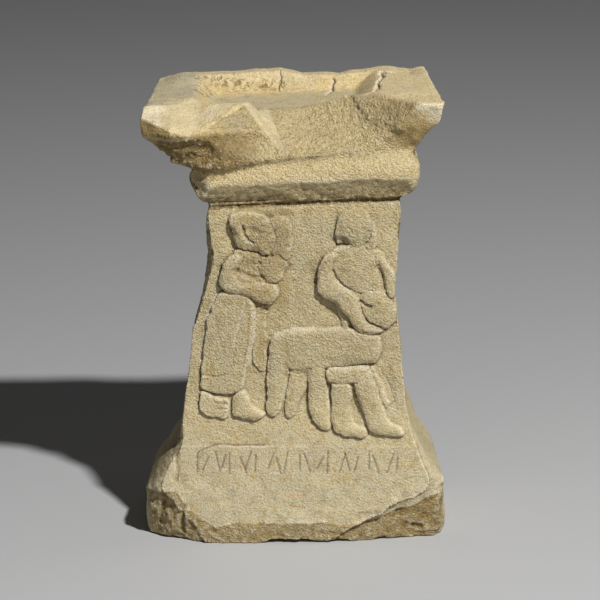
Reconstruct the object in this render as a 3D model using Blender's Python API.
"""A small limestone altar, carved with its plinth from one block.

A spreading base rises to a waisted shaft with a relief of a worshipper, an animal and a man. A round
moulding carries the spreading cap, whose top is hollowed to a shallow basin. The front of the cap is broken.
Metres, +Z up, the relief faces -Y, the origin is under the middle of the base.
"""
import math

import bmesh
import bpy
from mathutils import Vector

# Overall height, up to the higher right end of the rim
HEIGHT = 0.275

# Base and its spread up to the waist
BASE_WIDTH = 0.185
BASE_DEPTH = 0.121
BASE_CORNER = 0.030
BASE_EDGE_WEAR = 0.0018
BASE_WEAR_HEIGHT = 0.012
BASE_SPREAD_TOP = 0.098
BACK_NARROWING = 0.035
BACK_TO_RIGHT = 0.015

# Shaft
WAIST_HEIGHT = 0.150
WAIST_WIDTH = 0.1165
WAIST_DEPTH = 0.090
SHAFT_SHIFT = 0.0045
ARRIS_RADIUS = 0.0015
ARRIS_CHIP = 0.006

# Round moulding over the shaft
ROLL_FOOT = 0.2125
ROLL_HEIGHT = 0.0245
ROLL_FRONT_REACH = 0.0065
ROLL_SIDE_REACH = 0.0110
ROLL_CORNER = 0.0040
ROLL_TURN = 150.0

# Cap
CAP_WIDTH = 0.181
CAP_BACK_WIDTH = 0.167
CAP_DEPTH = 0.124
CAP_SHIFT = -0.0025
CAP_EDGE_HEIGHT = 0.0160
CAP_ARRIS = 0.0030
CAP_SWELL = 0.0045
CAP_SLOPE = 0.045
CAP_SLOPE_FOOT = 0.195

# Basin in the top
BASIN_LENGTH = 0.112
BASIN_WIDTH = 0.078
BASIN_DEPTH = 0.0095
BASIN_DRAFT = 0.0050
BASIN_END_DRAFT = 0.0130
BASIN_SHIFT = -0.0060
BASIN_SETBACK = 0.0105

# Relief on the front
RELIEF_HEIGHT = 0.0030
RELIEF_EDGE = 0.0012
RELIEF_GROOVE = 0.5
FLAT = 0.0012
ROUND = 0.0034
FULL = 0.0060
WORSHIPPER_HEIGHT = 0.1275
WORSHIPPER_FEET = (-0.038, 0.077)
MAN_HEIGHT = 0.141
MAN_FEET = (0.038, 0.0665)
ANIMAL_LENGTH = 0.071
ANIMAL_PLACE = (0.0175, 0.118)

# Fineness of the surface
FRONT_COLUMNS = 80
SIDE_STEPS = 8
BACK_STEPS = 14
CORNER_TURNS = (22.5, 45.0, 67.5, 90.0)
ROW_STEP = 0.0018
ROLL_STEPS = 9
SPLAY_STEPS = 4
FACES_KEPT = 0.33

# How far the sides have spread, from none at the waist to the full base, by shares of the waist's height
SIDE_SPREAD = (
    (0.00, 1.0), (0.10, 1.0), (0.165, 0.985), (0.23, 0.93), (0.29, 0.79), (0.35, 0.62), (0.41, 0.50),
    (0.47, 0.416), (0.54, 0.34), (0.60, 0.29), (0.66, 0.24), (0.77, 0.18), (0.89, 0.10), (1.00, 0.0),
)


def eased(value, low, high):
    """A share from 0 at low to 1 at high, with soft ends."""
    t = min(1.0, max(0.0, (value - low) / (high - low)))
    return t * t * (3.0 - 2.0 * t)


def between(stations, at):
    """The value at a place along a list of (place, value) stations."""
    for (a, va), (b, vb) in zip(stations, stations[1:]):
        if at <= b:
            return va + (vb - va) * (at - a) / (b - a)
    return stations[-1][1]


# Limestone

def limestone():
    material = bpy.data.materials.new("limestone")
    material.use_nodes = True
    shader = material.node_tree.nodes["Principled BSDF"]
    shader.inputs["Base Color"].default_value = (0.56, 0.47, 0.30, 1.0)
    shader.inputs["Roughness"].default_value = 0.92
    shader.inputs["Metallic"].default_value = 0.0
    return material


# Relief: each form is a distance outside its outline, in hundredths of its figure's size

def limb(x, z, *joints):
    """Distance to a bent limb, given as its joints and its half thickness at each."""
    nearest = 1e9
    for (ax, az, ar), (bx, bz, br) in zip(joints, joints[1:]):
        dx, dz = bx - ax, bz - az
        t = min(1.0, max(0.0, ((x - ax) * dx + (z - az) * dz) / (dx * dx + dz * dz)))
        nearest = min(nearest, math.hypot(x - ax - t * dx, z - az - t * dz) - (ar + (br - ar) * t))
    return nearest


def oval(x, z, middle, rx, rz):
    """Distance to an oval, near enough for a soft edge."""
    u, w = (x - middle[0]) / rx, (z - middle[1]) / rz
    return (math.hypot(u, w) - 1.0) * min(rx, rz)


def panel(x, z, corners):
    """Distance to a flat form with straight sides, its corners listed clockwise or the other way."""
    nearest, inside = 1e9, False
    for i, (bx, bz) in enumerate(corners):
        ax, az = corners[i - 1]
        dx, dz = bx - ax, bz - az
        t = min(1.0, max(0.0, ((x - ax) * dx + (z - az) * dz) / (dx * dx + dz * dz)))
        nearest = min(nearest, math.hypot(x - ax - t * dx, z - az - t * dz))
        if (az > z) != (bz > z) and x < ax + dx * (z - az) / dz:
            inside = not inside
    return -nearest if inside else nearest


# Each form: its share of the relief's height, how far its edge rounds over, and the outlines that make it up
WORSHIPPER = (
    # long robe
    (0.70, FLAT, (panel, ((-6.5, 64), (-11, 53), (-14, 41), (-15, 30), (-16, 15.5), (-3, 12.5), (4.5, 15),
                          (5.5, 25), (8, 34), (9.5, 46), (10, 53), (8, 58)))),
    # chest and the arm raised to the face
    (0.75, FLAT, (panel, ((-3.5, 80), (5, 82), (15, 78.5), (20, 72), (17, 64), (-2.5, 64))),
     (limb, (15.5, 67.5, 4.0), (21, 76, 4.0))),
    # worn mass before the face, head, and the hair behind it
    (0.65, ROUND, (limb, (23.5, 95, 3.6), (23.5, 80, 3.6))),
    (1.00, FULL, (oval, (9.4, 91.4), 10.4, 8.4), (limb, (14, 88, 5.0), (18.5, 83.5, 4.2))),
    (0.85, ROUND, (limb, (2, 92, 2.8), (4, 85.5, 2.8))),
    # near arm, bent across the body
    (1.00, ROUND, (limb, (-2, 76.8, 4.6), (-2, 66.5, 4.2), (10, 64, 3.3), (19, 59.5, 3.0))),
    # cloth that hangs from the hands
    (0.50, FLAT, (panel, ((11, 45.5), (9, 30), (11.5, 23), (15.5, 23), (16.5, 38), (14.5, 47)))),
    # feet
    (0.85, FLAT, (panel, ((-16, 14), (-10.5, 13), (-7.5, 10), (-3, 8.5), (-2.5, 2), (-9, 1), (-16, 5)))),
    (0.95, FLAT, (panel, ((-0.5, 13), (5.5, 14.5), (8, 8.5), (14, 5), (14.5, 2), (11, 0), (-0.5, 2.5)))),
)

MAN = (
    # chest, and the tunic's skirt behind the arm
    (0.75, ROUND, (panel, ((-12, 81.5), (-2, 84), (7, 82.5), (13, 75), (11, 60), (4, 50), (-4, 55),
                           (-9, 68)))),
    (0.50, FLAT, (panel, ((-10.5, 58), (-2.5, 55), (-2.5, 47), (-8, 47)))),
    # head with its bound hair
    (1.00, FULL, (oval, (-2.4, 92.5), 7.8, 7.4)),
    (0.90, ROUND, (limb, (3.6, 94, 2.8), (5, 84.5, 2.8))),
    # far arm and its round fist
    (0.85, ROUND, (limb, (12, 74, 3.0), (13.7, 65, 2.4))),
    (1.00, FULL, (oval, (8.3, 55.4), 7.6, 7.6)),
    # near arm, bent over to the hand
    (1.00, ROUND, (limb, (-14.2, 76, 4.0), (-14.4, 65, 4.0), (-1.7, 57, 3.7), (0.3, 50, 2.6),
                   (9, 46.7, 1.5))),
    # hem of the tunic
    (0.80, FLAT, (panel, ((-14, 29.5), (0.5, 31), (5, 30), (-1, 24), (-12.5, 24)))),
    # legs and feet
    (1.00, ROUND, (limb, (-8.5, 22.8, 4.6), (-8.3, 5.5, 4.0), (0.6, 1.8, 1.6))),
    (1.00, ROUND, (limb, (3, 25, 4.6), (7.9, 5.5, 4.0), (18.4, 2, 1.8))),
)

ANIMAL = (
    # hind leg beyond the man's
    (0.80, ROUND, (limb, (46.7, -14, 6.0), (55.4, -46, 4.6))),
    # body and the two legs under its near end
    (0.90, ROUND, (panel, ((-48, 10.5), (-42, 15), (-29, 20), (-1, 21.5), (25, 21), (47, 16), (48, 2),
                           (44, -10), (32, -9.5), (0, -13.5), (-12, -14), (-32, -17), (-48, -10))),
     (limb, (-40.7, -11.6, 6.9), (-44.7, -50, 5.0)), (limb, (-25.3, -17, 6.6), (-30.7, -53, 4.2))),
    # the leg before the man's
    (0.95, ROUND, (limb, (-5.3, -14, 8.0), (-4, -44.6, 7.0), (1.4, -65, 4.6))),
)

FIGURES = (
    (WORSHIPPER, WORSHIPPER_HEIGHT, WORSHIPPER_FEET),
    (ANIMAL, ANIMAL_LENGTH, ANIMAL_PLACE),
    (MAN, MAN_HEIGHT, MAN_FEET),
)


def relief(x, z):
    """How far the carving stands out of the front at a place."""
    height = 0.0
    for forms, size, place in FIGURES:
        unit = size / 100.0
        u, w = (x - place[0]) / unit, (z - place[1]) / unit
        for share, rounding, *outlines in forms:
            gap = min(outline(u, w, *values) for outline, *values in outlines) * unit
            if gap > 0.0:
                height *= 1.0 - RELIEF_GROOVE * (1.0 - eased(gap, 0.0, RELIEF_EDGE * 2))
            rise = min(1.0, max(0.0, (RELIEF_EDGE - gap) / (RELIEF_EDGE + rounding)))
            height = max(height, share * (1.0 - (1.0 - rise) ** 2))
    return RELIEF_HEIGHT * height


# Block: rings of points from the floor to the rim

def front_y(z):
    """The front face leans out from the waist to the base."""
    spread = max(0.0, 1.0 - z / WAIST_HEIGHT)
    wear = BASE_EDGE_WEAR * (1.0 - eased(z, 0.0, BASE_WEAR_HEIGHT))
    return -(WAIST_DEPTH + (BASE_DEPTH - WAIST_DEPTH) * spread * spread) / 2 + wear


def shaft_sides(z):
    """Half width and sideways shift of the shaft and base."""
    spread = between(SIDE_SPREAD, min(1.0, z / WAIST_HEIGHT))
    half = (WAIST_WIDTH + (BASE_WIDTH - WAIST_WIDTH) * spread) / 2
    return half, SHAFT_SHIFT * eased(z, WAIST_HEIGHT * 0.8, ROLL_FOOT)


def corner_cut(z):
    """The base's upright corners are worn round, less and less up to the sharp arris."""
    return ARRIS_RADIUS + BASE_CORNER * max(0.0, 1.0 - z / BASE_SPREAD_TOP) ** 2


def ring(half, shift, front, back, corner, back_half, back_shift):
    """One course of the block as points in plan: front, right side, back, left side."""
    depth_cut = min(corner * 1.1, (back - front) * 0.4)
    back_cut = min(corner * 0.6 + CAP_ARRIS, half * 0.5)
    points = []
    left, right = shift - half + corner, shift + half - corner
    for i in range(FRONT_COLUMNS + 1):
        points.append((left + (right - left) * i / FRONT_COLUMNS, front))
    turn = [math.radians(a) for a in CORNER_TURNS]
    for a in turn:
        points.append((right + corner * math.sin(a), front + depth_cut * (1.0 - math.cos(a))))
    start, end = front + depth_cut, back - back_cut
    for i in range(1, SIDE_STEPS + 1):
        t = i / SIDE_STEPS
        points.append((shift + half + (back_shift + back_half - shift - half) * t, start + (end - start) * t))
    for a in turn:
        points.append((back_shift + back_half - back_cut * (1.0 - math.cos(a)), end + back_cut * math.sin(a)))
    for i in range(1, BACK_STEPS + 1):
        t = i / BACK_STEPS
        points.append((back_shift + (back_half - back_cut) * (1.0 - 2.0 * t), back))
    for a in turn:
        points.append((back_shift - back_half + back_cut * (1.0 - math.sin(a)), end + back_cut * math.cos(a)))
    for i in range(1, SIDE_STEPS + 1):
        t = 1.0 - i / SIDE_STEPS
        points.append((shift - half + (back_shift - back_half - shift + half) * t, start + (end - start) * t))
    for a in turn[:-1]:
        points.append((left - corner * math.cos(a), front + depth_cut * (1.0 - math.sin(a))))
    return points


def rim_height():
    """Height of the level rim before it slopes, so that its right end reaches the full height."""
    return HEIGHT - CAP_SLOPE * (CAP_WIDTH / 2 + CAP_SHIFT)


def slope_lift(x, z):
    """The moulding and cap slope down to the left."""
    return CAP_SLOPE * x * eased(z, CAP_SLOPE_FOOT, ROLL_FOOT + ROLL_HEIGHT / 2)


def courses():
    """Each course as its height and ring."""
    z = 0.0
    while z < ROLL_FOOT - ROW_STEP / 2:
        half, shift = shaft_sides(z)
        yield z, ring(half, shift, front_y(z), -front_y(z), corner_cut(z), half * (1.0 - BACK_NARROWING),
                      shift + half * BACK_TO_RIGHT)
        z += ROW_STEP * (2.0 if z < MAN_FEET[1] * 0.9 else 1.0)
    half, shift = shaft_sides(ROLL_FOOT)
    back_shift = shift + half * BACK_TO_RIGHT
    y = front_y(ROLL_FOOT)
    top_of_turn = math.radians(ROLL_TURN - 90.0)
    for i in range(ROLL_STEPS + 1):
        a = math.radians(ROLL_TURN * i / ROLL_STEPS - 90.0)
        reach = max(0.0, math.cos(a))
        z = ROLL_FOOT + ROLL_HEIGHT * (math.sin(a) + 1.0) / (math.sin(top_of_turn) + 1.0)
        grown = half + ROLL_SIDE_REACH * reach
        front = y - ROLL_FRONT_REACH * reach
        grown_back = grown - half * BACK_NARROWING
        yield z, ring(grown, shift, front, -front, ARRIS_RADIUS + ROLL_CORNER * reach, grown_back, back_shift)
    ledge = math.cos(top_of_turn)
    splay_half = half + ROLL_SIDE_REACH * ledge
    splay_front = y - ROLL_FRONT_REACH * ledge
    under = rim_height() - CAP_EDGE_HEIGHT
    start = ROLL_FOOT + ROLL_HEIGHT
    for i in range(1, SPLAY_STEPS + 1):
        t = i / SPLAY_STEPS
        swell = CAP_SWELL * math.sin(math.pi * t ** 0.6)
        wide = splay_half + (CAP_WIDTH / 2 - splay_half) * t + swell
        wide_back = splay_half + (CAP_BACK_WIDTH / 2 - splay_half) * t + swell
        front = splay_front + (-CAP_DEPTH / 2 - splay_front) * t - swell
        yield (start + (under - start) * t,
               ring(wide, shift + (CAP_SHIFT - shift) * t, front, -front, CAP_ARRIS, wide_back,
                    back_shift + (CAP_SHIFT - back_shift) * t))
    yield rim_height(), ring(CAP_WIDTH / 2, CAP_SHIFT, -CAP_DEPTH / 2, CAP_DEPTH / 2, CAP_ARRIS,
                             CAP_BACK_WIDTH / 2, CAP_SHIFT)


def block():
    """The whole block before it was broken, with its relief."""
    mesh = bmesh.new()
    rings = []
    for z, points in courses():
        on_shaft = z < ROLL_FOOT
        row = []
        for i, (x, y) in enumerate(points):
            if on_shaft and i <= FRONT_COLUMNS:
                y -= relief(x, z)
            row.append(mesh.verts.new((x, y, z + slope_lift(x, z))))
        rings.append(row)
    for low, high in zip(rings, rings[1:]):
        for i in range(len(low)):
            j = (i + 1) % len(low)
            mesh.faces.new((low[i], low[j], high[j], high[i]))
    bmesh.ops.triangulate(mesh, faces=mesh.faces[:])
    mesh.faces.new(reversed(rings[0]))
    mesh.faces.new(rings[-1])
    data = bpy.data.meshes.new("altar")
    mesh.to_mesh(data)
    mesh.free()
    data.materials.append(limestone())
    altar = bpy.data.objects.new("altar", data)
    bpy.context.collection.objects.link(altar)
    return altar


# Breaks and hollows, cut out of the block

def cap_point(side, front, drop):
    """A point by shares of the cap's half width and half depth, and of its edge's height under the rim."""
    x = CAP_SHIFT + side * CAP_WIDTH / 2
    return Vector((x, -front * CAP_DEPTH / 2, rim_height() + CAP_SLOPE * x - drop * CAP_EDGE_HEIGHT))


def chunk(name, low, high, planes):
    """A cutter: a box, less what lies behind each plane, given as three points and one on the kept side."""
    mesh = bmesh.new()
    bmesh.ops.create_cube(mesh, size=1.0)
    for v in mesh.verts:
        v.co = Vector([l + (h - l) * (c + 0.5) for l, h, c in zip(low, high, v.co)])
    for a, b, c, kept in planes:
        normal = (b - a).cross(c - a).normalized()
        if normal.dot(kept - a) < 0:
            normal.negate()
        parts = mesh.verts[:] + mesh.edges[:] + mesh.faces[:]
        bmesh.ops.bisect_plane(mesh, geom=parts, plane_co=a, plane_no=normal, clear_inner=True)
        bmesh.ops.holes_fill(mesh, edges=mesh.edges[:])
    bmesh.ops.recalc_face_normals(mesh, faces=mesh.faces[:])
    data = bpy.data.meshes.new(name)
    mesh.to_mesh(data)
    mesh.free()
    cutter = bpy.data.objects.new(name, data)
    cutter.hide_render = True
    cutter.display_type = "WIRE"
    bpy.context.collection.objects.link(cutter)
    return cutter


def cut(altar, cutters):
    """All hollows and breaks are taken off in one cut, so that each meets the next cleanly."""
    lost = bpy.data.collections.new("hollows_and_breaks")
    bpy.context.scene.collection.children.link(lost)
    for cutter in cutters:
        bpy.context.collection.objects.unlink(cutter)
        lost.objects.link(cutter)
    modifier = altar.modifiers.new("hollows_and_breaks", "BOOLEAN")
    modifier.operation = "DIFFERENCE"
    modifier.solver = "EXACT"
    modifier.operand_type = "COLLECTION"
    modifier.collection = lost


def basin():
    """The hollow of the basin, its walls drawn in towards the floor."""
    mesh = bmesh.new()
    rows = []
    for share in (-1.0, 0.0, 1.0):
        row = []
        drop = BASIN_DEPTH * share
        half_x = BASIN_LENGTH / 2 - BASIN_END_DRAFT * share
        half_y = BASIN_WIDTH / 2 - BASIN_DRAFT * share
        for sx, sy in ((-1, -1), (1, -1), (1, 1), (-1, 1)):
            x = BASIN_SHIFT + sx * half_x
            y = BASIN_SETBACK + sy * half_y
            row.append(mesh.verts.new((x, y, rim_height() + CAP_SLOPE * x - drop)))
        rows.append(row)
    for high, low in zip(rows, rows[1:]):
        for i in range(4):
            mesh.faces.new((high[i - 1], high[i], low[i], low[i - 1]))
    mesh.faces.new(rows[0])
    mesh.faces.new(reversed(rows[-1]))
    bmesh.ops.recalc_face_normals(mesh, faces=mesh.faces[:])
    data = bpy.data.meshes.new("basin_hollow")
    mesh.to_mesh(data)
    mesh.free()
    cutter = bpy.data.objects.new("basin_hollow", data)
    cutter.hide_render = True
    cutter.display_type = "WIRE"
    bpy.context.collection.objects.link(cutter)
    return cutter


def cap_breaks():
    """The front of the cap is struck off in planes that meet in a ridge, a scoop and an overhanging corner."""
    low = Vector((-CAP_WIDTH, -CAP_WIDTH, ROLL_FOOT + ROLL_HEIGHT * 0.6))
    high = Vector((CAP_WIDTH, CAP_WIDTH, HEIGHT * 1.1))
    peak = cap_point(-0.30, 0.52, -0.06)
    ridge_foot = cap_point(-0.06, 0.80, 1.80)
    floor_left = cap_point(-0.20, 0.23, 0.59)
    floor_right = cap_point(0.54, 0.06, 0.59)
    roll_right = cap_point(0.71, 0.82, 2.12)
    wall_right = cap_point(0.54, 0.32, 0.15)
    rim_right = cap_point(0.85, 0.97, 0.0)
    ahead = cap_point(0.2, 1.6, 0.0)
    yield chunk("front_spall", low, high, (
        (floor_left, floor_right, roll_right, ahead),
        (wall_right, roll_right, rim_right, ahead),
        (peak, ridge_foot, floor_left, ahead),
    ))
    valley_back = cap_point(-0.67, 0.30, 0.03)
    valley_front = cap_point(-0.61, 0.94, 0.76)
    left_rim = cap_point(-0.94, 0.58, 0.0)
    above = cap_point(-0.6, 0.8, -1.25)
    yield chunk("left_spall", low, high, (
        (left_rim, valley_back, valley_front, above),
        (valley_back, valley_front, peak, above),
    ))
    corner_end = cap_point(0.99, 0.94, 0.69)
    corner_foot = cap_point(0.82, 0.76, 1.96)
    roll_top = ROLL_FOOT + ROLL_HEIGHT
    above_roll = Vector((roll_right.x * 0.85, low.y, roll_top + slope_lift(CAP_WIDTH / 2, roll_top)))
    yield chunk("right_corner", above_roll, high, (
        (rim_right, corner_end, corner_foot, cap_point(0.9, 1.6, 1.25)),
    ))
    yield chunk("right_side_break", above_roll, high, (
        (cap_point(1.0, 0.7, 0.80), cap_point(1.0, -0.7, 0.80), cap_point(0.85, 0.7, 1.84),
         cap_point(1.4, 0.0, 2.0)),
    ))
    end_back = cap_point(-1.0, 0.80, 0.37)
    end_front = cap_point(-0.80, 0.99, 0.72)
    end_foot = cap_point(-0.965, 0.80, 1.10)
    yield chunk("left_corner", low, high, (
        (end_back, end_front, end_foot, cap_point(-1.2, 1.6, 0.62)),
    ))
    front_of_ridge = cap_point(-0.4, 1.5, 0.0)
    left_of_ridge = cap_point(-0.6, 0.8, 1.25)
    along_depth = ridge_foot + Vector((0.0, 0.05, 0.0))
    yield chunk("ridge_face", low, high, (
        (valley_front, peak, ridge_foot, front_of_ridge),
        (peak, ridge_foot, along_depth, left_of_ridge),
    ))


def foot_breaks():
    """Both front corners of the base are struck off low down."""
    half = BASE_WIDTH / 2
    front = -BASE_DEPTH / 2
    low = Vector((-BASE_WIDTH, -BASE_WIDTH, -BASE_WEAR_HEIGHT))
    high = Vector((BASE_WIDTH, BASE_WIDTH, WAIST_HEIGHT * 0.5))
    beyond = Vector((0.0, front * 4.0, 0.0))
    yield chunk("right_foot_break", low, high, ((
        Vector((half * 0.30, front * 0.965, BASE_SPREAD_TOP * 0.10)),
        Vector((half * 0.95, front * 0.86, BASE_SPREAD_TOP * 0.34)),
        Vector((half * 0.87, front * 0.75, 0.0)),
        beyond,
    ),))
    yield chunk("left_foot_break", low, high, ((
        Vector((half * -0.57, front * 1.0, BASE_SPREAD_TOP * 0.06)),
        Vector((half * -0.80, front * 0.93, BASE_SPREAD_TOP * 0.33)),
        Vector((half * -0.92, front * 0.72, 0.0)),
        beyond,
    ),))


def shaft_breaks():
    """The left arris of the shaft is chipped, and the round moulding's left end is broken at the front."""
    half_shaft, shift = shaft_sides(WAIST_HEIGHT)
    side, face = shift - half_shaft, front_y(WAIST_HEIGHT)
    deep_front = Vector((side + ARRIS_CHIP, face, WAIST_HEIGHT * 1.15))
    deep_side = Vector((side, face + ARRIS_CHIP * 2.5, WAIST_HEIGHT * 1.15))
    outside = Vector((side * 1.5, face * 1.5, WAIST_HEIGHT * 1.15))
    roll_foot = ROLL_FOOT + slope_lift(side, ROLL_FOOT)
    low = Vector((-BASE_WIDTH, -BASE_WIDTH, WAIST_HEIGHT * 0.9))
    high = Vector((BASE_WIDTH, BASE_WIDTH, roll_foot - ARRIS_RADIUS))
    yield chunk("arris_chip", low, high, (
        (deep_front, deep_side, Vector((side, face, WAIST_HEIGHT * 0.97)), outside),
        (deep_front, deep_side, Vector((side, face, ROLL_FOOT)), outside),
    ))
    half_neck, shift = shaft_sides(ROLL_FOOT)
    roll_end = shift - half_neck - ROLL_SIDE_REACH
    roll_front = front_y(ROLL_FOOT) - ROLL_FRONT_REACH
    low.z, high.z = roll_foot + ARRIS_RADIUS, roll_foot + ROLL_HEIGHT
    yield chunk("roll_end_break", low, high, ((
        Vector((roll_end * 0.975, roll_front, roll_foot + ROLL_HEIGHT * 0.70)),
        Vector((roll_end * 0.870, roll_front, roll_foot)),
        Vector((roll_end, roll_front * 0.70, roll_foot + ROLL_HEIGHT * 0.30)),
        Vector((roll_end * 1.5, roll_front * 1.5, roll_foot)),
    ),))


def build():
    for old in list(bpy.data.objects):
        bpy.data.objects.remove(old, do_unlink=True)
    altar = block()
    cut(altar, [basin(), *cap_breaks(), *foot_breaks(), *shaft_breaks()])
    thin = altar.modifiers.new("fewer_faces", "DECIMATE")
    thin.decimate_type = "COLLAPSE"
    thin.ratio = FACES_KEPT
    thin.use_collapse_triangulate = True
    return altar


build()
